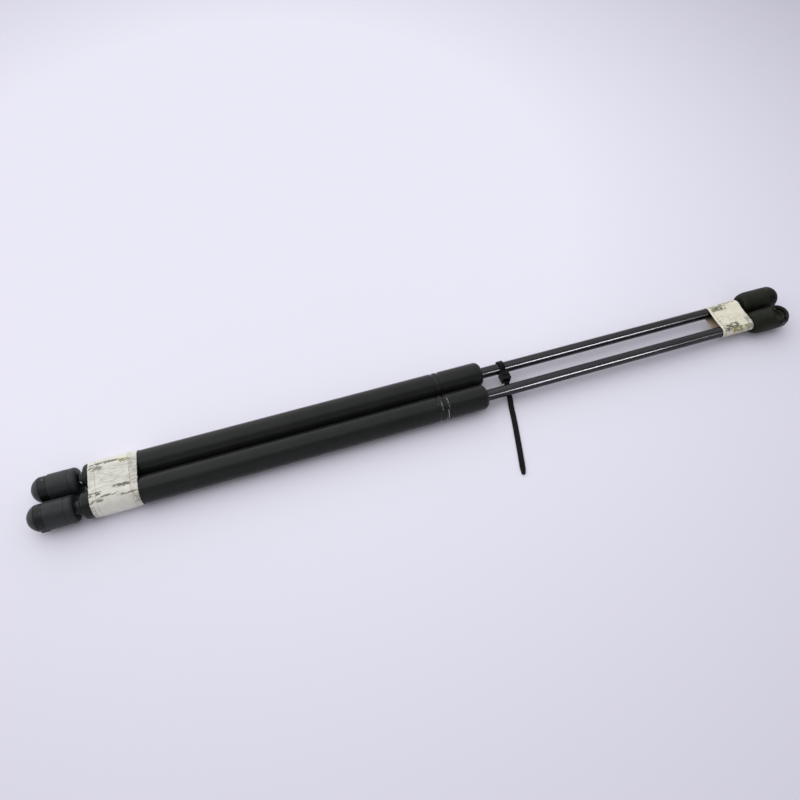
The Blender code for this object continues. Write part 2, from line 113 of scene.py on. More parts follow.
# Sizes that only the looks have
TAPE_PAPER = 0.12 * MM
TAPE_LAYER_STEP = 0.15 * MM      # from one wound layer to the next
TAPE_FIRST_LAYER = 0.20 * MM     # clear of the tube or rod under it
FOLD_ANGLE = math.radians(38)    # of the wrinkles across the masking tape

# ---------------------------------------------------------------- camera, floor and light
CAMERA_PLACE = Vector((115.7, -206.8, 377.3)) * MM
CAMERA_AZIMUTH = math.radians(19.9)      # from +Y towards +X
CAMERA_PITCH = math.radians(58.44)       # below the horizon
CAMERA_ROLL = math.radians(2.16)
CAMERA_LENS = 27.9
# The floor colour paints a pool of light: FLOOR_LIGHT near its centre, fading to FLOOR_DARK further out.
FLOOR_LIGHT = (0.800, 0.785, 0.883)
FLOOR_DARK = (0.463, 0.451, 0.534)
FLOOR_LIT_CENTRE = Vector((0.14, 0.26, 0.0))      # of the bright patch
FLOOR_LIGHT_REACH, FLOOR_DARK_REACH = 0.28, 0.78
FLOOR_HALF_SIZE = 4.0
# (degrees from overhead, positive towards the far side; share of the strength)
DOME = ((-90, 0.55), (-62, 0.34), (-42, 0.25), (-22, 0.30), (-13, 0.88), (60, 0.94), (90, 0.70))
DOME_TINT = (0.985, 0.99, 1.0)
DOME_STRENGTH = 1.79
DOME_DIM_SIDE = 0.55      # of the strength, towards +X, where the photo grows darker
BACKDROP_COLOR = (0.49, 0.48, 0.56, 1.0)
ROD_STRIP_POWER = 25.0
ROD_STRIP_PLACE = (1.22, -1.42, 1.11)
ROD_STRIP_AIM = (0.33, 0.0, 0.01)
ROD_STRIP_SIZE = (0.60, 0.30)


def make_camera():
    data = bpy.data.cameras.new("photo_camera")
    data.lens = CAMERA_LENS
    data.sensor_width = 36.0
    data.clip_start = 0.01
    camera = bpy.data.objects.new("photo_camera", data)
    bpy.context.scene.collection.objects.link(camera)
    level = math.cos(CAMERA_PITCH)
    forward = Vector((math.sin(CAMERA_AZIMUTH) * level, math.cos(CAMERA_AZIMUTH) * level,
                      -math.sin(CAMERA_PITCH)))
    facing = forward.to_track_quat("-Z", "Y").to_matrix()
    roll = Matrix.Rotation(-CAMERA_ROLL, 3, forward)
    camera.matrix_world = Matrix.Translation(CAMERA_PLACE) @ (roll @ facing).to_4x4()
    bpy.context.scene.camera = camera


def area_light(name, place, aim, size, power):
    data = bpy.data.lights.new(name, "AREA")
    data.shape = "RECTANGLE"
    data.size, data.size_y = size
    data.energy = power
    light = bpy.data.objects.new(name, data)
    bpy.context.scene.collection.objects.link(light)
    light.location = place
    light.rotation_euler = (Vector(aim) - Vector(place)).to_track_quat("-Z", "Y").to_euler()
    return light


def make_world():
    """A studio dome: bright on the far side and overhead, dimmer on the near side and towards +X."""
    world = bpy.data.worlds.new("studio")
    bpy.context.scene.world = world
    world.use_nodes = True
    tree = world.node_tree
    split = tree.nodes.new("ShaderNodeSeparateXYZ")
    tree.links.new(tree.nodes.new("ShaderNodeTexCoord").outputs["Generated"], split.inputs["Vector"])
    angle = tree.nodes.new("ShaderNodeMath")      # 0 overhead, positive towards the far side
    angle.operation = "ARCTAN2"
    tree.links.new(split.outputs["Y"], angle.inputs[0])
    tree.links.new(split.outputs["Z"], angle.inputs[1])
    share = tree.nodes.new("ShaderNodeMapRange")
    share.inputs["From Min"].default_value = -math.pi / 2
    share.inputs["From Max"].default_value = math.pi / 2
    tree.links.new(angle.outputs["Value"], share.inputs["Value"])
    level = tree.nodes.new("ShaderNodeValToRGB")
    stops = level.color_ramp.elements
    for _ in DOME[2:]:
        stops.new(0.5)
    for stop, (degrees, strength) in zip(stops, DOME):
        stop.position = degrees / 180 + 0.5
        stop.color = (*(strength * tint for tint in DOME_TINT), 1.0)
    tree.links.new(share.outputs["Result"], level.inputs["Fac"])
    lit = tree.nodes["Background"]
    sideways = tree.nodes.new("ShaderNodeMapRange")
    sideways.inputs["From Min"].default_value = -0.10
    sideways.inputs["From Max"].default_value = 0.60
    sideways.inputs["To Min"].default_value = DOME_STRENGTH
    sideways.inputs["To Max"].default_value = DOME_STRENGTH * DOME_DIM_SIDE
    tree.links.new(split.outputs["X"], sideways.inputs["Value"])
    tree.links.new(sideways.outputs["Result"], lit.inputs["Strength"])
    tree.links.new(level.outputs["Color"], lit.inputs["Color"])
    seen = tree.nodes.new("ShaderNodeBackground")        # what a view past the floor's edge shows
    seen.inputs["Color"].default_value = BACKDROP_COLOR
    choose = tree.nodes.new("ShaderNodeMixShader")
    tree.links.new(tree.nodes.new("ShaderNodeLightPath").outputs["Is Camera Ray"], choose.inputs["Fac"])
    tree.links.new(lit.outputs["Background"], choose.inputs[1])
    tree.links.new(seen.outputs["Background"], choose.inputs[2])
    tree.links.new(choose.outputs["Shader"], tree.nodes["World Output"].inputs["Surface"])


def light_rods(rods):
    """A strip light on the near side that only the polished rods pick up."""
    strip = area_light("rod_strip", ROD_STRIP_PLACE, ROD_STRIP_AIM, ROD_STRIP_SIZE, ROD_STRIP_POWER)
    shiny = bpy.data.collections.new("rod_strip_receivers")
    for rod in rods:
        shiny.objects.link(rod)
    strip.light_linking.receiver_collection = shiny


def make_stage():
    bpy.context.scene.view_settings.view_transform = "Standard"
    make_world()
    bm = bmesh.new()
    bmesh.ops.create_grid(bm, x_segments=1, y_segments=1, size=FLOOR_HALF_SIZE)
    mesh = bpy.data.meshes.new("floor")
    bm.to_mesh(mesh)
    bm.free()
    floor = bpy.data.objects.new("floor", mesh)
    bpy.context.scene.collection.objects.link(floor)
    paint = Shader("floor_with_painted_light", Roughness=0.9, Specular_IOR_Level=0.1)
    away = paint.tree.nodes.new("ShaderNodeVectorMath")
    away.operation = "DISTANCE"
    away.inputs[1].default_value = FLOOR_LIT_CENTRE
    paint.tree.links.new(paint.here, away.inputs[0])
    # Painted light: the floor is painted bright round its centre and darker further out, a painted pool of
    # light.
    stops = [(0.0, FLOOR_LIGHT), (FLOOR_LIGHT_REACH, FLOOR_LIGHT), (FLOOR_DARK_REACH, FLOOR_DARK)]
    fade = paint.ramp(away.outputs["Value"], stops)
    paint.put(paint.bsdf.inputs["Base Color"], fade)
    mesh.materials.append(paint.material)


# ---------------------------------------------------------------- material tools
class Shader:
    """Builds one node material. Coordinates are the piece's own, in millimetres."""

    def __init__(self, name, **fixed):
        self.material = bpy.data.materials.new(name)
        self.material.use_nodes = True
        self.tree = self.material.node_tree
        self.bsdf = self.tree.nodes["Principled BSDF"]
        for socket, value in fixed.items():
            self.bsdf.inputs[socket.replace("_", " ")].default_value = value
        self.here = self.tree.nodes.new("ShaderNodeTexCoord").outputs["Object"]
        self.mm = self.mapped(self.here, (1000, 1000, 1000))

    def put(self, socket, value):
        """Give a socket a number, a colour or another node's output."""
        if isinstance(value, bpy.types.NodeSocket):
            self.tree.links.new(value, socket)
        else:
            if isinstance(value, tuple) and len(value) == 3 and len(socket.default_value) == 4:
                value = (*value, 1.0)
            socket.default_value = value

    def mapped(self, vector, scale=(1, 1, 1), place=(0, 0, 0)):
        node = self.tree.nodes.new("ShaderNodeMapping")
        node.inputs["Scale"].default_value = scale
        node.inputs["Location"].default_value = place
        self.tree.links.new(vector, node.inputs["Vector"])
        return node.outputs["Vector"]

    def noise(self, scale, detail=3.0, stretch=(1, 1, 1), seed=0.0, rough=0.55):
        node = self.tree.nodes.new("ShaderNodeTexNoise")
        node.inputs["Scale"].default_value = scale
        node.inputs["Detail"].default_value = detail
        node.inputs["Roughness"].default_value = rough
        spot = self.mapped(self.mm, stretch, (seed * 17.3, seed * 9.1, seed * 5.7))
        self.tree.links.new(spot, node.inputs["Vector"])
        return node.outputs["Fac"]

    def ramp(self, value, stops):
        """Map a value through (position, grey or colour) stops."""
        node = self.tree.nodes.new("ShaderNodeValToRGB")
        elements = node.color_ramp.elements
        while len(elements) < len(stops):
            elements.new(0.5)
        for element, (position, color) in zip(elements, stops):
            element.position = position
            element.color = (*color, 1.0) if isinstance(color, tuple) else (color, color, color, 1.0)
        self.put(node.inputs["Fac"], value)
        return node.outputs["Color"]

    def calc(self, operation, first, second=0.0):
        node = self.tree.nodes.new("ShaderNodeMath")
        node.operation = operation
        self.put(node.inputs[0], first)
        self.put(node.inputs[1], second)
        return node.outputs["Value"]

    def axis(self, name):
        node = self.tree.nodes.new("ShaderNodeSeparateXYZ")
        self.tree.links.new(self.mm, node.inputs["Vector"])
        return node.outputs[name]

    def near(self, value, centre, half, fade=0.5):
        """1 where value lies within half of centre, 0 outside, with a soft edge."""
        away = self.calc("ABSOLUTE", self.calc("SUBTRACT", value, centre))
        node = self.tree.nodes.new("ShaderNodeMapRange")
        node.interpolation_type = "SMOOTHSTEP"
        node.inputs["From Min"].default_value = half + fade
        node.inputs["From Max"].default_value = half
        self.put(node.inputs["Value"], away)
        return node.outputs["Result"]

    def mix(self, share, first, second):
        node = self.tree.nodes.new("ShaderNodeMix")
        node.data_type = "RGBA"
        self.put(node.inputs["Factor"], share)
        self.put(node.inputs["A"], first)
        self.put(node.inputs["B"], second)
        return node.outputs["Result"]

    def bump(self, height, depth_mm, strength=1.0, under=None):
        node = self.tree.nodes.new("ShaderNodeBump")
        node.inputs["Strength"].default_value = strength
        node.inputs["Distance"].default_value = depth_mm * MM
        self.put(node.inputs["Height"], height)
        if under is not None:
            self.tree.links.new(under, node.inputs["Normal"])
        return node.outputs["Normal"]

    def finish(self, color, roughness, normal=None, metallic=None):
        self.put(self.bsdf.inputs["Base Color"], color)
        self.put(self.bsdf.inputs["Roughness"], roughness)
        if normal is not None:
            self.tree.links.new(normal, self.bsdf.inputs["Normal"])
        if metallic is not None:
            self.put(self.bsdf.inputs["Metallic"], metallic)
        return self.material


# Scratches down to the metal beside the crimps: back from the mouth, across, half length, in mm
SCRATCHES = {"left": (), "right": ((34.5, -2.3, 2.9), (29.8, -2.0, 3.6), (30.9, -7.4, 1.2))}


def painted_tube(side):
    """Satin black paint with a faint orange peel, dust, long rub marks and worn crimp edges."""
    seed = {"left": 1.0, "right": 2.0}[side]
    s = Shader(f"{side}_tube_paint", Specular_IOR_Level=0.17)
    black, worn_black = (0.0095, 0.0103, 0.0098), (0.0130, 0.0140, 0.0132)
    tone = s.ramp(s.noise(0.06, 3, seed=seed), [(0.3, black), (0.7, worn_black)])
    dust = s.ramp(s.noise(2.6, 2, seed=seed + 3), [(0.66, 0.0), (0.74, 0.5)])
    tone = s.mix(dust, tone, (0.045, 0.048, 0.046))
    rubs = s.noise(1.0, 4, (0.035, 1.1, 1.1), seed + 5, 0.6)
    rub_line = s.ramp(rubs, [(0.60, 0.0), (0.615, 0.55), (0.63, 0.0)])
    tone = s.mix(rub_line, tone, (0.030, 0.033, 0.032))
    edges = 0.0
    for back in CRIMPS_FROM_MOUTH:
        for flank in (-0.9, 0.9):
            crimp = (TUBE_END + SHIFT[side] - back) / MM + flank
            edges = s.calc("MAXIMUM", edges, s.near(s.axis("X"), crimp, 0.16, 0.12))
    chips = s.ramp(s.noise(0.30, 3, seed=seed + 11), [(0.66, 0.0), (0.71, 1.0)])
    bare = s.calc("MULTIPLY", edges, chips)
    flaky = s.ramp(s.noise(0.5, 3, seed=seed + 12), [(0.40, 0.15), (0.55, 1.0)])
    for back, across, half in SCRATCHES[side]:
        scratch = (TUBE_END + SHIFT[side]) / MM - back
        where = s.calc("MULTIPLY", s.near(s.axis("X"), scratch, 0.16, 0.18),
                       s.near(s.axis("Y"), AXIS_Y[side] / MM + across, half, 0.8))
        bare = s.calc("MAXIMUM", bare, s.calc("MULTIPLY", where, flaky))
    tone = s.mix(bare, tone, (0.30, 0.30, 0.29))
    rough = s.ramp(s.noise(0.25, 3, seed=seed + 13), [(0.3, 0.20), (0.7, 0.27)])
    peel = s.bump(s.noise(1.4, 2, seed=seed + 15), 0.004, 0.5)
    normal = s.bump(rub_line, 0.004, 0.5, peel)
    return s.finish(tone, rough, normal, s.calc("MULTIPLY", bare, 0.7))


def painted_plug():
    """Steel plug painted over with the tube where it shows, the paint worn through on edges."""
    s = Shader("plug_steel", Specular_IOR_Level=0.3)
    shown = s.near(s.axis("X"), (TUBE_START - COLLAR_LENGTH / 2) / MM - 1.0, COLLAR_LENGTH / MM, 0.8)
    worn = s.ramp(s.noise(0.55, 3, seed=4), [(0.60, 0.0), (0.63, 1.0)])
    cover = s.calc("MULTIPLY", shown, s.calc("SUBTRACT", 1.0, worn))
    bare = s.ramp(s.noise(0.5, 4, seed=6), [(0.35, 0.42), (0.65, 0.62)])
    tone = s.mix(cover, bare, (0.006, 0.007, 0.007))
    rough = s.ramp(cover, [(0.0, 0.22), (1.0, 0.38)])
    lines = s.bump(s.noise(1.2, 3, (4.0, 0.4, 0.4), 7), 0.006, 0.5)
    return s.finish(tone, rough, lines, s.calc("SUBTRACT", 1.0, cover))


def dark_rod_steel():
    """Dark nitrided and polished rod: fine grinding lines round it, faint smears along it."""
    s = Shader("nitrided_rod", Metallic=1.0)
    lines = s.noise(1.0, 4, (9.0, 0.25, 0.25), 3)
    smears = s.noise(1.0, 3, (0.03, 0.9, 0.9), 5)
    tone = s.ramp(smears, [(0.35, (0.030, 0.029, 0.033)), (0.65, (0.047, 0.046, 0.050))])
    tone = s.mix(s.ramp(lines, [(0.35, 0.0), (0.7, 0.3)]), tone, (0.080, 0.080, 0.080))
    rough = s.ramp(smears, [(0.3, 0.16), (0.7, 0.22)])
    return s.finish(tone, rough, s.bump(lines, 0.002, 0.5))


def plain_metal(name, tone, rough, seed=1.0, stretch=(4.0, 0.4, 0.4)):
    """Turned metal with tool lines and a little tarnish."""
    s = Shader(name, Metallic=1.0)
    lines = s.noise(1.2, 3, stretch, seed)
    dull = tuple(0.72 * c for c in tone)
    color = s.ramp(s.noise(0.5, 4, seed=seed + 2), [(0.35, dull), (0.65, tone)])
    shine = s.ramp(lines, [(0.3, rough * 0.85), (0.7, rough * 1.25)])
    return s.finish(color, shine, s.bump(lines, 0.006, 0.6))


def moulded(name, tone, rough, grain=5.0, grain_depth=0.012, seed=1.0, dusty=0.4, shine_level=0.3):
    """Moulded plastic or rubber: fine skin grain, slow tone change and dust in specks."""
    s = Shader(name, Specular_IOR_Level=shine_level)
    light = tuple(min(1.0, c * 1.5 + 0.004) for c in tone)
    color = s.ramp(s.noise(0.22, 3, seed=seed), [(0.3, tone), (0.72, light)])
    pale = tuple(min(1.0, c * 2.0 + 0.05) for c in tone)
    specks = s.ramp(s.noise(3.1, 2, seed=seed + 4), [(0.66, 0.0), (0.76, dusty)])
    color = s.mix(specks, color, pale)
    shine = s.ramp(s.noise(0.5, 3, seed=seed + 6), [(0.3, rough * 0.9), (0.7, rough * 1.15)])
    skin = s.bump(s.noise(grain, 3, seed=seed + 8), grain_depth, 0.7)
    return s.finish(color, shine, skin)


# ---------------------------------------------------------------- mesh tools
def new_piece(name, verts, faces, material, smooth_angle=40.0):
    mesh = bpy.data.meshes.new(name)
    mesh.from_pydata([tuple(v) for v in verts], [], faces)
    bm = bmesh.new()
    bm.from_mesh(mesh)
    bmesh.ops.remove_doubles(bm, verts=bm.verts, dist=1e-7)
    bmesh.ops.recalc_face_normals(bm, faces=bm.faces)
    bm.to_mesh(mesh)
    bm.free()
    mesh.shade_smooth()
    mesh.set_sharp_from_angle(angle=math.radians(smooth_angle))
    if material is not None:
        mesh.materials.append(material)
    obj = bpy.data.objects.new(name, mesh)
    bpy.context.scene.collection.objects.link(obj)
    return obj


def arc(centre, radius, start_deg, end_deg, steps=10):
    """Points of an arc in the (along, out) plane, with both ends."""
    angles = np.radians(np.linspace(start_deg, end_deg, steps + 1))
    return [(centre[0] + radius * math.cos(a), centre[1] + radius * math.sin(a)) for a in angles]


def lathe(name, profile, material, origin=(0.0, 0.0, 0.0), axis="X", segments=96):
    """Turn (along, radius) points about an axis; ends on the axis close it, others join in a ring."""
    ring = profile[0][1] > 0.0 or profile[-1][1] > 0.0
    verts, faces = [], []
    for along, radius in profile:
        for k in range(segments):
            angle = 2 * math.pi * k / segments
            side, up = radius * math.sin(angle), radius * math.cos(angle)
            spot = Vector((along, side, up)) if axis == "X" else Vector((side, up, along))
            verts.append(spot + Vector(origin))
    count = len(profile)
    for i in range(count if ring else count - 1):
        j = (i + 1) % count
        for k in range(segments):
            n = (k + 1) % segments
            faces.append((i * segments + k, i * segments + n, j * segments + n, j * segments + k))
    return new_piece(name, verts, faces, material)


def prism(name, outline, start, end, material=None):
    """Extrude a closed (y, z) outline along X."""
    count = len(outline)
    verts = [(x, y, z) for x in (start, end) for y, z in outline]
    faces = [tuple(range(count)), tuple(range(count, 2 * count))]
    faces += [(i, (i + 1) % count, count + (i + 1) % count, count + i) for i in range(count)]
    return new_piece(name, verts, faces, material)


def block(name, low, high, material=None):
    outline = [(low[1], low[2]), (high[1], low[2]), (high[1], high[2]), (low[1], high[2])]
    return prism(name, outline, low[0], high[0], material)


def carved(base, changes, voxel, passes=3, keep=0.35):
    """Apply Booleans to a base, then remesh and smooth it so that every edge is softly rounded."""
    for operation, tool in changes:
        modifier = base.modifiers.new(operation.lower(), "BOOLEAN")
        modifier.operation = operation
        modifier.solver = "EXACT"
        modifier.object = tool
        tool.hide_render = True
    remesh = base.modifiers.new("remesh", "REMESH")
    remesh.mode = "VOXEL"
    remesh.voxel_size = voxel
    smooth = base.modifiers.new("smooth", "SMOOTH")
    smooth.factor = 0.5
    smooth.iterations = passes
    fewer = base.modifiers.new("fewer", "DECIMATE")
    fewer.ratio = keep
    bpy.context.view_layer.update()
    evaluated = base.evaluated_get(bpy.context.evaluated_depsgraph_get())
    mesh = bpy.data.meshes.new_from_object(evaluated)
    base.modifiers.clear()
    base.data = mesh
    mesh.shade_smooth()
    for _, tool in changes:
        bpy.data.objects.remove(tool, do_unlink=True)
    return base


# ---------------------------------------------------------------- tubes, plugs and rods
def tube_profile(shift):
    start, end = TUBE_START + shift, TUBE_END + shift
    bore = TUBE_RADIUS - TUBE_WALL
    hole = COLLAR_RADIUS + GAP
    outer = [(start, hole)]
    outer += arc((start + BLIND_END_ROLL, TUBE_RADIUS - BLIND_END_ROLL), BLIND_END_ROLL, 180, 90)
    inner = [(start + TUBE_WALL, hole), (start + TUBE_WALL, bore)]
    dip = np.linspace(-1.0, 1.0, 13)
    for back in CRIMPS_FROM_MOUTH:
        for points, radius in ((outer, TUBE_RADIUS), (inner, bore)):
            for t in dip:
                depth = CRIMP_DEPTH * math.cos(t * math.pi / 2) ** 2
                points.append((end - back + t * 1.5 * MM, radius - depth))
    outer += arc((end - MOUTH_ROLL, TUBE_RADIUS - MOUTH_ROLL), MOUTH_ROLL, 90, 0, 12)
    outer += [(end, MOUTH_LIP_RADIUS + 0.15 * MM), (end - 0.2 * MM, MOUTH_LIP_RADIUS)]
    roll = MOUTH_ROLL - TUBE_WALL
    inner += arc((end - MOUTH_ROLL, bore - roll), roll, 90, 0, 6)
    inner += [(end - TUBE_WALL, MOUTH_LIP_RADIUS)]
    return outer + inner[::-1]


def make_tubes():
    for side in SIDES:
        origin = (0.0, AXIS_Y[side], AXIS_Z)
        tube = lathe(f"{side}_tube_painted", tube_profile(SHIFT[side]), painted_tube(side), origin, "X", 128)
        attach(tube, "tubes")
        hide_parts(f"{side}_tube")


def make_end_plugs():
    """Steel plug with a chamfered collar, seal groove and a ringed stud inside the socket."""
    steel = painted_plug()
    body_start = TUBE_START + TUBE_WALL + GAP
    body_end = body_start + PLUG_BODY_LENGTH
    radius = TUBE_RADIUS - TUBE_WALL - GAP
    middle = (body_start + body_end) / 2
    collar = TUBE_START - COLLAR_LENGTH
    stud = collar - PLUG_STUD_LENGTH
    profile = [(stud, 0.0), (stud, PLUG_STUD_RADIUS - 0.8 * MM)]
    for k in range(7):
        root = stud + (k + 0.5) * PLUG_THREAD_PITCH
        profile += [(root, PLUG_STUD_RADIUS - 0.7 * MM), (root + PLUG_THREAD_PITCH / 2, PLUG_STUD_RADIUS)]
    chamfer, groove = EDGE_CHAMFER, PLUG_GROOVE_HALF_WIDTH
    profile += [(collar, PLUG_STUD_RADIUS - 0.4 * MM), (collar, COLLAR_RADIUS - chamfer),
                (collar + chamfer, COLLAR_RADIUS), (body_start, COLLAR_RADIUS),
                (body_start, radius - chamfer), (body_start + chamfer, radius),
                (middle - groove, radius), (middle - groove, PLUG_GROOVE_RADIUS),
                (middle + groove, PLUG_GROOVE_RADIUS), (middle + groove, radius),
                (body_end - chamfer, radius), (body_end, radius - chamfer), (body_end, 0.0)]
    for side in SIDES:
        moved = [(x + SHIFT[side], r) for x, r in profile]
        plug = lathe(f"{side}_plug_turned", moved, steel, (0.0, AXIS_Y[side], AXIS_Z), "X", 64)
        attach(plug, "tubes")
        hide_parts(f"{side}_end_plug")


def make_rods():
    steel = dark_rod_steel()
    tail = ROD_SHOULDER - ROD_TAIL_LENGTH
    chamfer = EDGE_CHAMFER
    profile = [(tail, 0.0), (tail, ROD_TAIL_RADIUS - 0.3 * MM), (tail + 0.3 * MM, ROD_TAIL_RADIUS),
               (ROD_SHOULDER, ROD_TAIL_RADIUS), (ROD_SHOULDER, ROD_RADIUS - chamfer),
               (ROD_SHOULDER + chamfer, ROD_RADIUS), (ROD_END - chamfer, ROD_RADIUS),
               (ROD_END, ROD_RADIUS - chamfer)]
    for k in range(12):
        root = ROD_END + (k + 0.4) * ROD_THREAD_PITCH
        profile += [(root, ROD_STUD_RADIUS - 0.55 * MM), (root + ROD_THREAD_PITCH / 2, ROD_STUD_RADIUS)]
    stud_end = ROD_END + ROD_STUD_LENGTH
    profile += [(stud_end, ROD_STUD_RADIUS - 0.6 * MM), (stud_end, 0.0)]
    rods = []
    for side in SIDES:
        moved = [(x + SHIFT[side], r) for x, r in profile]
        rod = lathe(f"{side}_rod_polished", moved, steel, (0.0, AXIS_Y[side], AXIS_Z), "X", 96)
        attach(rod, f"{side}_rod")
        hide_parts(f"{side}_piston_rod")
        rods.append(rod)
    light_rods(rods)


# ---------------------------------------------------------------- sockets and clips
# Tone, roughness and shine of the socket plastic at the two ends, and tone of their clips; the rod-end tones
# are darker as painted shade of the dimmer +X end.
SOCKET_LOOK_AND_SHADE = {"tube_end": ((0.0125, 0.0150, 0.0155), 0.42, 0.27),
               "rod_end": ((0.0075, 0.0088, 0.0048), 0.50, 0.13)}
CLIP_TONE_AND_SHADE = {"tube_end": (0.023, 0.025, 0.025), "rod_end": (0.013, 0.014, 0.013)}


def clip_outline(inner, outer, leg, steps=40):
    """Outline in (y, z) of a band that arches over the ball pocket and runs straight down."""
    over = arc((0, 0), outer, 0, 180, steps)
    under = arc((0, 0), inner, 180, 0, steps)
    return [(outer, -leg), *over, (-outer, -leg), (-inner, -leg), *under, (inner, -leg)]


def socket_plastic(name, tone, rough, shine_level, centre, seed):
    """Moulded socket: black plastic with rubbed streaks and specks of dust, painted paler in the ball pocket
    as painted light that lifts its shade.
    """
    s = Shader(name, Specular_IOR_Level=shine_level)
    light = tuple(1.5 * c + 0.001 for c in tone)
    color = s.ramp(s.noise(0.20, 3, seed=seed), [(0.3, tone), (0.72, light)])
    away = s.tree.nodes.new("ShaderNodeVectorMath")
    away.operation = "DISTANCE"
    away.inputs[1].default_value = centre / MM
    s.tree.links.new(s.mm, away.inputs[0])
    # Painted light: the surface of the ball pocket is painted paler to lift the shade in the recess.
    inside = s.near(away.outputs["Value"], 0.0, POCKET_RADIUS / MM + 0.15, 0.5)
    color = s.mix(inside, color, (0.085, 0.088, 0.072))
    specks = s.ramp(s.noise(2.6, 2, seed=seed + 4), [(0.68, 0.0), (0.78, 0.12)])
    color = s.mix(specks, color, (0.12, 0.12, 0.11))
    rubbed = s.ramp(s.noise(1.0, 4, (0.12, 0.9, 0.9), seed + 6), [(0.62, 0.0), (0.66, 0.3), (0.70, 0.0)])
    color = s.mix(rubbed, color, (0.040, 0.042, 0.040))
    shine = s.ramp(s.noise(0.5, 3, seed=seed + 8), [(0.3, rough * 0.9), (0.7, rough * 1.15)])
    skin = s.bump(s.noise(5.0, 3, seed=seed + 9), 0.010, 0.6)
    return s.finish(color, shine, skin)


def socket_tools():
    reach = 12 * MM
    face = block("face", (-reach, -reach, -reach), (FACE_HALF_LENGTH, reach, -FACE_DROP))
    lip = -math.degrees(math.acos(POCKET_MOUTH_RADIUS / POCKET_RADIUS))
    bowl = [(z, r) for r, z in arc((0, 0), POCKET_RADIUS, lip, 90, 14)[:-1]]
    flare = 0.6 * MM
    profile = [(-reach, 0.0), (-reach, POCKET_MOUTH_RADIUS + flare),
               (-FACE_DROP, POCKET_MOUTH_RADIUS + flare), (-FACE_DROP + flare, POCKET_MOUTH_RADIUS)]
    pocket = lathe("pocket", profile + bowl + [(POCKET_RADIUS, 0.0)], None, axis="Z", segments=64)
    half = CLIP_WIDTH / 2 + CLIP_FIT
    outline = clip_outline(CLIP_INNER_RADIUS - CLIP_FIT, reach, reach)
    groove = prism("groove", outline, -half, half)
    slot_half = CLIP_JAW_WIDTH / 2 + 0.4 * MM
    slot_top = CLIP_LIFT - CLIP_LEG + CLIP_THICKNESS + GAP
    slot = block("slot", (-slot_half, -reach, -reach), (slot_half, reach, slot_top))
    return [("DIFFERENCE", tool) for tool in (face, pocket, groove, slot)]


def tube_end_profile():
    radius = TUBE_END_SOCKET_RADIUS
    shank_end = TUBE_START - COLLAR_LENGTH - GAP - BALL_X["tube_end"]
    bore_end = shank_end - TUBE_END_SOCKET_BORE_DEPTH
    bore = PLUG_STUD_RADIUS + GAP
    roll = 2.5 * MM
    ring = shank_end - 5.0 * MM
    profile = [(-radius, 0.0)] + arc((0, 0), radius, 180, 90, 20)[1:]
    profile += [(ring - 0.5 * MM, radius), (ring, radius - 0.35 * MM), (ring + 0.5 * MM, radius)]
    profile += arc((shank_end - roll, radius - roll), roll, 90, 0, 8)
    return profile + [(shank_end, bore), (bore_end, bore), (bore_end, 0.0)]


def rod_end_profile():
    radius, head = ROD_END_SOCKET_RADIUS, ROD_END_SOCKET_HEAD_RADIUS
    neck, taper = ROD_END_SOCKET_NECK_RADIUS, ROD_END_SOCKET_NECK_LENGTH
    shank_end = BALL_X["rod_end"] - ROD_END - GAP
    bore_end = shank_end - ROD_STUD_LENGTH
    bore = ROD_STUD_RADIUS + GAP
    meet = math.degrees(math.asin(radius / head))
    profile = [(-head, 0.0)] + arc((0, 0), head, 180, meet, 20)[1:]
    for angle in np.radians(np.linspace(0, 90, 10)):
        profile.append((shank_end - taper + taper * math.sin(angle),
                        neck + (radius - neck) * math.cos(angle)))
    return profile + [(shank_end, bore), (bore_end, bore), (bore_end, 0.0)]


def black_clip_steel(name, tone):
    """Blackened spring steel, rubbed bright in a few places."""
    s = Shader(name, Metallic=0.80, Specular_IOR_Level=0.2)
    scuff = s.ramp(s.noise(0.45, 3, seed=4), [(0.655, 0.0), (0.69, 0.8)])
    color = s.mix(scuff, tone, (0.30, 0.30, 0.29))
    shine = s.ramp(scuff, [(0.0, 0.38), (1.0, 0.25)])
    return s.finish(color, shine, s.bump(s.noise(3.0, 3, seed=6), 0.006, 0.5))


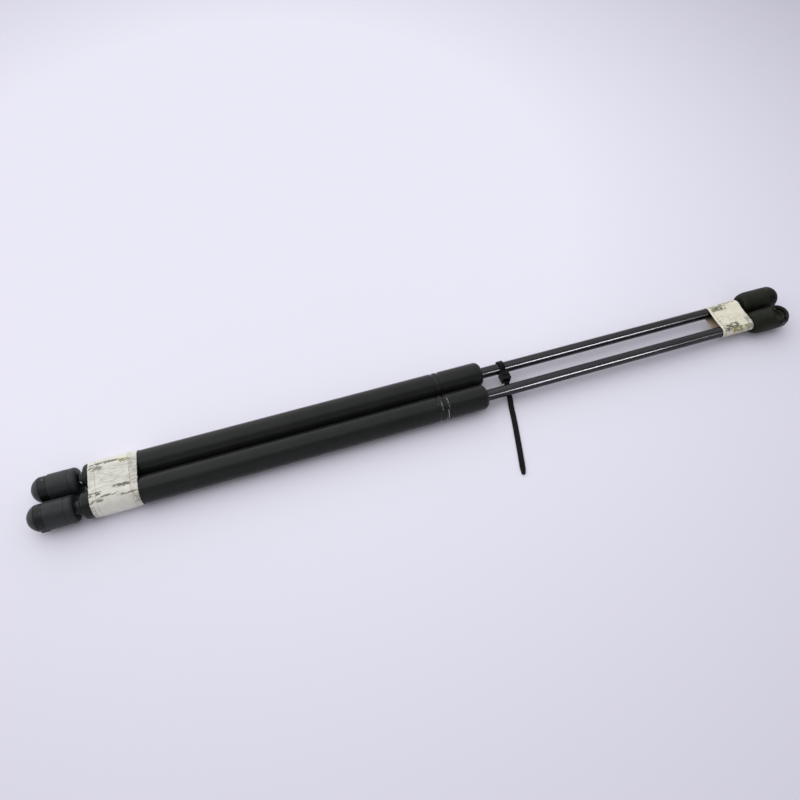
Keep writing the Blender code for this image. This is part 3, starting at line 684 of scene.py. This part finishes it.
def make_sockets():
    clip_steels = {end: black_clip_steel(f"{end}_clip_steel", tone) for end, tone in CLIP_TONE_AND_SHADE.items()}
    outer = CLIP_INNER_RADIUS + CLIP_THICKNESS
    band = prism("clip", clip_outline(CLIP_INNER_RADIUS, outer, CLIP_LEG), -CLIP_WIDTH / 2, CLIP_WIDTH / 2)
    jaws = []
    for sign in (-1, 1):
        near, far = sorted((sign * CLIP_JAW_TIP, sign * (outer - CLIP_THICKNESS / 2)))
        jaws.append(("UNION", block("jaw", (-CLIP_JAW_WIDTH / 2, near, -CLIP_LEG),
                                    (CLIP_JAW_WIDTH / 2, far, -CLIP_LEG + CLIP_THICKNESS))))
    clip = carved(band, jaws, 0.14 * MM, 2, 0.5)
    for end, profile in (("tube_end", tube_end_profile()), ("rod_end", rod_end_profile())):
        body = carved(lathe("socket", profile, None), socket_tools(), 0.2 * MM)
        yaw = math.pi if end == "rod_end" else 0.0
        for side in SIDES:
            turned = math.pi if (end, side) == ("rod_end", "right") else 0.0
            centre = Vector((BALL_X[end] + SHIFT[side], AXIS_Y[side], AXIS_Z))
            place = (Matrix.Translation(centre) @ Matrix.Rotation(yaw, 4, "Z")
                     @ Matrix.Rotation(turned, 4, "X"))
            home = "tubes" if end == "tube_end" else f"{side}_rod"
            plastic = socket_plastic(f"{side}_{end}_plastic", *SOCKET_LOOK_AND_SHADE[end], centre, 3.0)
            for source, kind, material, body_name in ((body, "socket", plastic, home),
                                                      (clip, "clip", clip_steels[end], f"{side}_{end}_clip")):
                piece = bpy.data.objects.new(f"{side}_{end}_{kind}_moulded", source.data.copy())
                bpy.context.scene.collection.objects.link(piece)
                piece.data.transform(place)
                piece.data.materials.clear()
                piece.data.materials.append(material)
                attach(piece, body_name)
                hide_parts(f"{side}_{end}_{kind}")
        bpy.data.objects.remove(body, do_unlink=True)
    bpy.data.objects.remove(clip, do_unlink=True)


# ---------------------------------------------------------------- masking tape
def tape_paper(name, seed, smudges, layer_edges, wrinkled, tint):
    """Creped cream paper with handling dirt, and painted shade along layer edges, fold lines and crepe
    hollows; smudges are (x, y, half x, half y, tone, share) in mm.
    """
    s = Shader(name, Specular_IOR_Level=0.25)
    stops = [(place, tuple(share * c for share, c in zip(tint, tone)))
             for place, tone in ((0.3, (0.63, 0.615, 0.555)), (0.7, (0.75, 0.735, 0.675)))]
    tone = s.ramp(s.noise(0.16, 4, seed=seed), stops)
    crepe = s.noise(1.0, 3, (0.28, 2.6, 2.6), seed + 2)
    # Painted shade: the paper is painted darker in the hollows of the crepe, the low side of its bump.
    tone = s.mix(s.ramp(crepe, [(0.3, 0.25), (0.6, 0.0)]), tone, (0.52, 0.50, 0.41))
    spots = s.noise(1.0, 6, (0.42, 0.95, 0.95), seed + 5, 0.68)
    uneven = s.ramp(s.noise(0.38, 3, seed=seed + 6), [(0.36, 0.10), (0.54, 0.24)])
    for x, y, half_x, half_y, dirt, share in smudges:
        where = s.calc("MULTIPLY", s.near(s.axis("X"), x, half_x * 0.7, half_x * 0.8),
                       s.near(s.axis("Y"), y, half_y * 0.6, half_y * 1.2))
        patch = s.ramp(s.calc("ADD", spots, s.calc("MULTIPLY", where, uneven)), [(0.60, 0.0), (0.70, share)])
        tone = s.mix(s.calc("MULTIPLY", patch, where), tone, dirt)
    broken = s.ramp(s.noise(0.35, 3, seed=seed + 7), [(0.35, 0.25), (0.6, 0.75)])
    # Painted shadow: a broken dark line along each wound layer's edge stands in for the shade of the step.
    for edge in layer_edges:
        line = s.calc("MULTIPLY", s.near(s.axis("X"), edge, 0.10, 0.16), broken)
        tone = s.mix(line, tone, (0.16, 0.15, 0.11))
    faint = s.ramp(s.noise(1.6, 4, seed=seed + 9), [(0.62, 0.0), (0.78, 0.35)])
    tone = s.mix(faint, tone, (0.30, 0.28, 0.20))
    slanted = s.mapped(s.mm, (0.07, 0.42, 0.42), (seed, 0, 0))
    slanted.node.inputs["Rotation"].default_value = (0.0, 0.0, FOLD_ANGLE)
    folds = s.tree.nodes.new("ShaderNodeTexNoise")
    folds.inputs["Scale"].default_value = 1.0
    folds.inputs["Detail"].default_value = 2.0
    s.tree.links.new(slanted, folds.inputs["Vector"])
    ridge = s.ramp(folds.outputs["Fac"], [(0.465, 0.0), (0.5, 1.0), (0.535, 0.0)])
    ridge = s.calc("MULTIPLY", ridge, s.near(s.axis("Y"), wrinkled, 7.5, 3.0))
    # Painted shade: the paper is painted darker along the fold lines, where the wrinkles' shade would fall.
    tone = s.mix(s.calc("MULTIPLY", ridge, 0.38), tone, (0.36, 0.35, 0.30))
    ridges = s.bump(ridge, 0.24, 0.85, s.bump(crepe, 0.05, 0.8))
    fibres = s.bump(s.noise(4.5, 3, seed=seed + 12), 0.015, 0.6, ridges)
    return s.finish(tone, 0.78, fibres)


def tape_glue(name):
    """Brownish adhesive side of the tape."""
    s = Shader(name, Specular_IOR_Level=0.4)
    tone = s.ramp(s.noise(0.5, 4, seed=4), [(0.3, (0.50, 0.39, 0.28)), (0.7, (0.64, 0.52, 0.40))])
    return s.finish(tone, 0.5, s.bump(s.noise(1.5, 3, seed=6), 0.03, 0.6))


def stadium(distance, radius, half):
    """Point and outward direction (y, z) at a distance round two circles a belt runs over."""
    quarter = math.pi * radius
    total = 2 * quarter + 4 * half
    d = distance % total
    if d < half:
        return (-d, -radius), (0.0, -1.0)
    d -= half
    if d < quarter:
        a = -math.pi / 2 - d / radius
        return (-half + radius * math.cos(a), radius * math.sin(a)), (math.cos(a), math.sin(a))
    d -= quarter
    if d < 2 * half:
        return (-half + d, radius), (0.0, 1.0)
    d -= 2 * half
    if d < quarter:
        a = math.pi / 2 - d / radius
        return (half + radius * math.cos(a), radius * math.sin(a)), (math.cos(a), math.sin(a))
    return (half - (d - quarter), -radius), (0.0, -1.0)


def tape_layer(span, radius, half, thickness, relief, skew, seed, materials, name):
    """One wound layer as a closed shell. relief(x, y, z) gives how far the paper lifts, in metres."""
    total = 2 * math.pi * radius + 4 * half
    round_steps = int(total / (0.32 * MM))
    along_steps = max(8, int((span[1] - span[0]) / (0.36 * MM)))
    verts, faces, glue_faces = [], [], []
    for i in range(along_steps + 1):
        share = i / along_steps
        for k in range(round_steps):
            (y, z), (ny, nz) = stadium(total * k / round_steps, radius, half)
            wave = 0.22 * MM * noise.noise(Vector((seed, 30 * y * 12, 30 * z * 12)))
            slant = (1 - share) * skew[0](y) + share * skew[1](y)
            x = span[0] + (span[1] - span[0]) * share + wave * (1 - 2 * share) + slant
            lift = relief(x, y, z)
            for face in (0.0, thickness):
                grow = face + lift
                verts.append((x, y + ny * grow, AXIS_Z + z + nz * grow))

    def index(i, k, face):
        return 2 * (i * round_steps + k % round_steps) + face

    for i in range(along_steps):
        for k in range(round_steps):
            faces.append((index(i, k, 1), index(i, k + 1, 1), index(i + 1, k + 1, 1), index(i + 1, k, 1)))
            glue_faces.append(len(faces))
            faces.append((index(i, k, 0), index(i + 1, k, 0), index(i + 1, k + 1, 0), index(i, k + 1, 0)))
    for k in range(round_steps):
        faces.append((index(0, k, 0), index(0, k + 1, 0), index(0, k + 1, 1), index(0, k, 1)))
        last = along_steps
        faces.append((index(last, k, 1), index(last, k + 1, 1), index(last, k + 1, 0), index(last, k, 0)))
    layer = new_piece(name, verts, faces, materials[0], 60.0)
    layer.data.materials.append(materials[1])
    for face in glue_faces:
        layer.data.polygons[face].material_index = 1
    return layer


def joined(pieces, name):
    """Join pieces into the first one and name it."""
    with bpy.context.temp_override(active_object=pieces[0], object=pieces[0],
                                   selected_objects=pieces, selected_editable_objects=pieces):
        bpy.ops.object.join()
    pieces[0].name = name
    pieces[0].data.name = name
    return pieces[0]


def crease(value, centre, width):
    return math.exp(-((value - centre) / width) ** 2)


def make_tapes():
    half = (AXIS_Y["left"] - AXIS_Y["right"]) / 2
    glue = tape_glue("tape_glue")

    def tube_relief(x, y, z):
        top = max(0.0, z / TUBE_RADIUS)
        fold = 0.14 * MM * crease(y + 0.16 * x, -10.9 * MM, 0.5 * MM) * top
        spot = Vector((x * 160, y * 260, z * 260))
        crumple = 0.24 * MM * noise.noise(spot) + 0.10 * MM * noise.noise(spot * 2.7)
        far = min(1.0, max(0.0, (y + 9 * MM) / (5 * MM)))
        return fold + crumple * (0.35 + 0.65 * far) * (0.3 + 0.7 * top)

    def rod_relief(x, y, z):
        spot = Vector((x * 190, y * 260, z * 260 + 5))
        sag = -0.5 * MM * math.cos(min(1.0, abs(y) / half) * math.pi / 2) * (1 if z > 0 else 0.6)
        return sag + 0.18 * MM * noise.noise(spot) + 0.07 * MM * noise.noise(spot * 2.5)

    dirt = (0.085, 0.090, 0.060)
    brown = (0.26, 0.24, 0.09)
    grey = (0.32, 0.32, 0.30)
    tube_marks = [(-3.0, 12.0, 10.0, 1.0, dirt, 0.85), (9.6, 10.5, 3.0, 1.4, brown, 0.9),
                  (-8.0, 9.0, 4.5, 1.4, dirt, 0.8), (6.8, -6.9, 5.2, 1.3, dirt, 0.9),
                  (-10.0, -8.8, 4.8, 1.2, dirt, 0.95), (-1.0, -11.3, 6.0, 0.6, dirt, 0.85),
                  (10.0, -12.9, 6.0, 0.55, dirt, 0.85), (-9.2, -13.2, 4.2, 0.9, dirt, 0.8),
                  (14.8, 2.0, 2.2, 12.0, grey, 0.6), (14.8, -16.0, 2.0, 2.6, dirt, 0.5),
                  (-12.2, -17.5, 1.2, 2.0, grey, 0.7)]
    rod_marks = [(450.0, 8.8, 6.0, 2.6, dirt, 0.9), (457.0, 12.2, 9.0, 1.4, dirt, 0.65),
                 (450.5, -9.6, 6.4, 2.8, dirt, 0.95), (458.5, -12.4, 9.0, 1.4, brown, 0.95),
                 (466.0, -9.0, 2.4, 5.0, grey, 0.85)]
    bands = (("tube_tape", "tubes", TUBE_RADIUS, tube_relief, tube_marks, 2.0,
              (lambda y: 1.0 * MM + 0.02 * y, lambda y: 0.1 * MM + 0.06 * y),
              ((0.0, 0.0), (4.2, -0.3), (4.6, -4.6)), 2.0, (1.0, 1.0, 1.0)),
             ("rod_tape", "left_rod", ROD_RADIUS, rod_relief, rod_marks, 6.0, (lambda y: 0.0, lambda y: 0.0),
              ((0.0, 0.0), (2.4, 0.2), (3.5, 0.1)), -6.0, (1.05, 1.02, 0.93)))
    for node, body, core, relief, marks, seed, skew, trims, wrinkled, tint in bands:
        low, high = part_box(node)
        edges = [low.x / MM + trims[1][0] + skew[0](0.0) / MM, high.x / MM + trims[2][1] + skew[1](0.0) / MM]
        paper = tape_paper(f"{node}_paper", seed, marks, edges, wrinkled, tint)
        layers = []
        for k, (trim_low, trim_high) in enumerate(trims):
            span = (low.x + trim_low * MM, high.x + trim_high * MM)
            radius = core + TAPE_FIRST_LAYER + TAPE_LAYER_STEP * k
            layers.append(tape_layer(span, radius, half, TAPE_PAPER, relief, skew, seed + k, (paper, glue),
                                     f"{node}_layer_{k}"))
        band = joined(layers, f"{node}_wound")
        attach(band, body)
        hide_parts(node)


# ---------------------------------------------------------------- cable tie
def smooth_path(controls, spacing):
    """Points on a smooth curve through the controls, about spacing apart."""
    dense = []
    last = len(controls) - 1
    for i in range(last):
        before, start = controls[max(i - 1, 0)], controls[i]
        end, after = controls[i + 1], controls[min(i + 2, last)]
        steps = max(2, int((end - start).length / spacing))
        for step in range(steps):
            t = step / steps
            dense.append(0.5 * ((2 * start) + (end - before) * t
                                + (2 * before - 5 * start + 4 * end - after) * t ** 2
                                + (3 * start - before - 3 * end + after) * t ** 3))
    dense.append(controls[-1])
    return dense


def strap(name, centres, sides, toothed, taper, material):
    """Sweep a tie strap: smooth rails, a recessed toothed channel on one face and a tapered tip."""
    rail, channel = TIE_WIDTH / 2, TIE_WIDTH / 2 - 0.7 * MM
    thick, deep, soft = TIE_THICKNESS / 2, 0.22 * MM, 0.25 * MM
    travelled, rows, verts = 0.0, [], []
    total = sum((b - a).length for a, b in zip(centres, centres[1:]))
    for i, centre in enumerate(centres):
        if i:
            travelled += (centre - centres[i - 1]).length
        ahead = centres[min(i + 1, len(centres) - 1)] - centres[max(i - 1, 0)]
        side = sides[i].normalized()
        normal = side.cross(ahead).normalized()
        left = total - travelled
        narrow = 1.0 if not taper else min(1.0, 0.45 + 0.55 * (left / (5 * MM)) ** 0.5)
        tooth = (travelled / (1.0 * MM)) % 1.0
        cut = deep * (1 - tooth) if toothed and left > 9 * MM else deep * 0.3
        points = [(-rail, -thick + soft), (-rail + soft, -thick), (rail - soft, -thick),
                  (rail, -thick + soft), (rail, thick - soft), (rail - soft, thick),
                  (channel, thick), (channel - 0.05 * MM, thick - cut),
                  (-channel + 0.05 * MM, thick - cut), (-channel, thick),
                  (-rail + soft, thick), (-rail, thick - soft)]
        row = []
        for across, up in points:
            row.append(len(verts))
            verts.append(centre + side * (across * narrow) + normal * up)
        rows.append(row)
    faces = [tuple(rows[0]), tuple(rows[-1])]
    count = len(rows[0])
    for first, second in zip(rows, rows[1:]):
        for j in range(count):
            n = (j + 1) % count
            faces.append((first[j], first[n], second[n], second[j]))
    return new_piece(name, verts, faces, material, 35.0)


def make_tie():
    nylon = moulded("tie_nylon", (0.0022, 0.0022, 0.0032), 0.36, grain=2.5, grain_depth=0.008, seed=9.0,
                    dusty=0.10, shine_level=0.10)
    rod_y = AXIS_Y["left"]
    reach = ROD_RADIUS + GAP + TIE_THICKNESS / 2
    along_x = Vector((1, 0, 0))
    loop = []
    for angle in np.radians(np.linspace(158, -158, 200)):
        loop.append(Vector((TIE_X, rod_y + reach * math.cos(angle), AXIS_Z + reach * math.sin(angle))))
    head_low = rod_y - ROD_RADIUS - GAP - TIE_HEAD.y
    floor = TIE_THICKNESS / 2
    controls = [Vector((TIE_X, head_low + 2.0 * MM, AXIS_Z - 1.2 * MM)),
                Vector((TIE_X, head_low - 1.2 * MM, AXIS_Z - 1.6 * MM)),
                Vector((TIE_X, head_low - 4.8 * MM, AXIS_Z - 5.6 * MM)),
                Vector((TIE_X, -9.3 * MM, 2.6 * MM)),
                Vector((TIE_X - 0.6 * MM, -13.6 * MM, floor + 0.5 * MM)),
                Vector((TIE_X - 1.8 * MM, -18.5 * MM, floor)),
                Vector((TIE_X - 4.4 * MM, -30.0 * MM, floor)),
                Vector((TIE_X - 9.0 * MM, -48.0 * MM, floor)),
                TIE_TIP + Vector((0.0, 0.0, floor))]
    tail = smooth_path(controls, 0.25 * MM)
    sides = []
    for i in range(len(tail)):
        ahead = tail[min(i + 1, len(tail) - 1)] - tail[max(i - 1, 0)]
        sides.append(Vector((-ahead.y, ahead.x, 0.0)))
    loop_strap = strap("tie_loop", loop, [along_x] * len(loop), False, False, nylon)
    tail_strap = strap("tie_tail", tail, sides, True, True, nylon)
    corner = Vector((TIE_X - TIE_HEAD.x / 2, head_low, AXIS_Z - TIE_HEAD.z / 2))
    head = block("tie_head", corner, corner + TIE_HEAD, nylon)
    window_low = Vector((TIE_X - 2.1 * MM, head_low - 1 * MM, AXIS_Z - 0.6 * MM))
    window = block("window", window_low, window_low + Vector((4.2, 3.4, 2.6)) * MM)
    recess_low = Vector((TIE_X - 2.0 * MM, head_low + 1.4 * MM, AXIS_Z + TIE_HEAD.z / 2 - 0.7 * MM))
    recess = block("recess", recess_low, recess_low + Vector((4.0, 2.2, 2.0)) * MM)
    carved(head, [("DIFFERENCE", window), ("DIFFERENCE", recess)], 0.12 * MM, 6, 0.5)
    tie = joined([head, loop_strap, tail_strap], "cable_tie_nylon")
    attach(tie, "tie")
    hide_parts("cable_tie")


# ---------------------------------------------------------------- inner pieces that stay as CAD nodes
def dress_inner_pieces():
    zinc = plain_metal("inner_zinc", (0.60, 0.60, 0.57), 0.30, 7.0)
    finishes = {
        "plug_o_ring": moulded("o_ring_nitrile", (0.015, 0.015, 0.016), 0.6, seed=11.0),
        "stop_washer": moulded("bump_rubber", (0.020, 0.020, 0.021), 0.75, seed=12.0),
        "seal_retainer": zinc,
        "backup_washer": plain_metal("brass_washer", (0.70, 0.52, 0.24), 0.28, 13.0),
        "rod_seal": moulded("seal_nitrile", (0.017, 0.017, 0.018), 0.55, seed=14.0),
        "rod_guide": moulded("guide_nylon", (0.055, 0.055, 0.052), 0.5, seed=15.0),
        "piston": plain_metal("piston_alloy", (0.66, 0.66, 0.67), 0.3, 16.0),
        "piston_ring": moulded("ring_ptfe", (0.60, 0.58, 0.53), 0.45, seed=17.0),
        "piston_washer": zinc,
        "piston_nut": zinc,
    }
    for side in SIDES:
        for node, material in finishes.items():
            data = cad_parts[f"{side}_{node}"].data
            data.materials.clear()
            data.materials.append(material)


make_camera()
make_stage()
make_tubes()
make_end_plugs()
make_rods()
make_sockets()
make_tapes()
make_tie()
dress_inner_pieces()
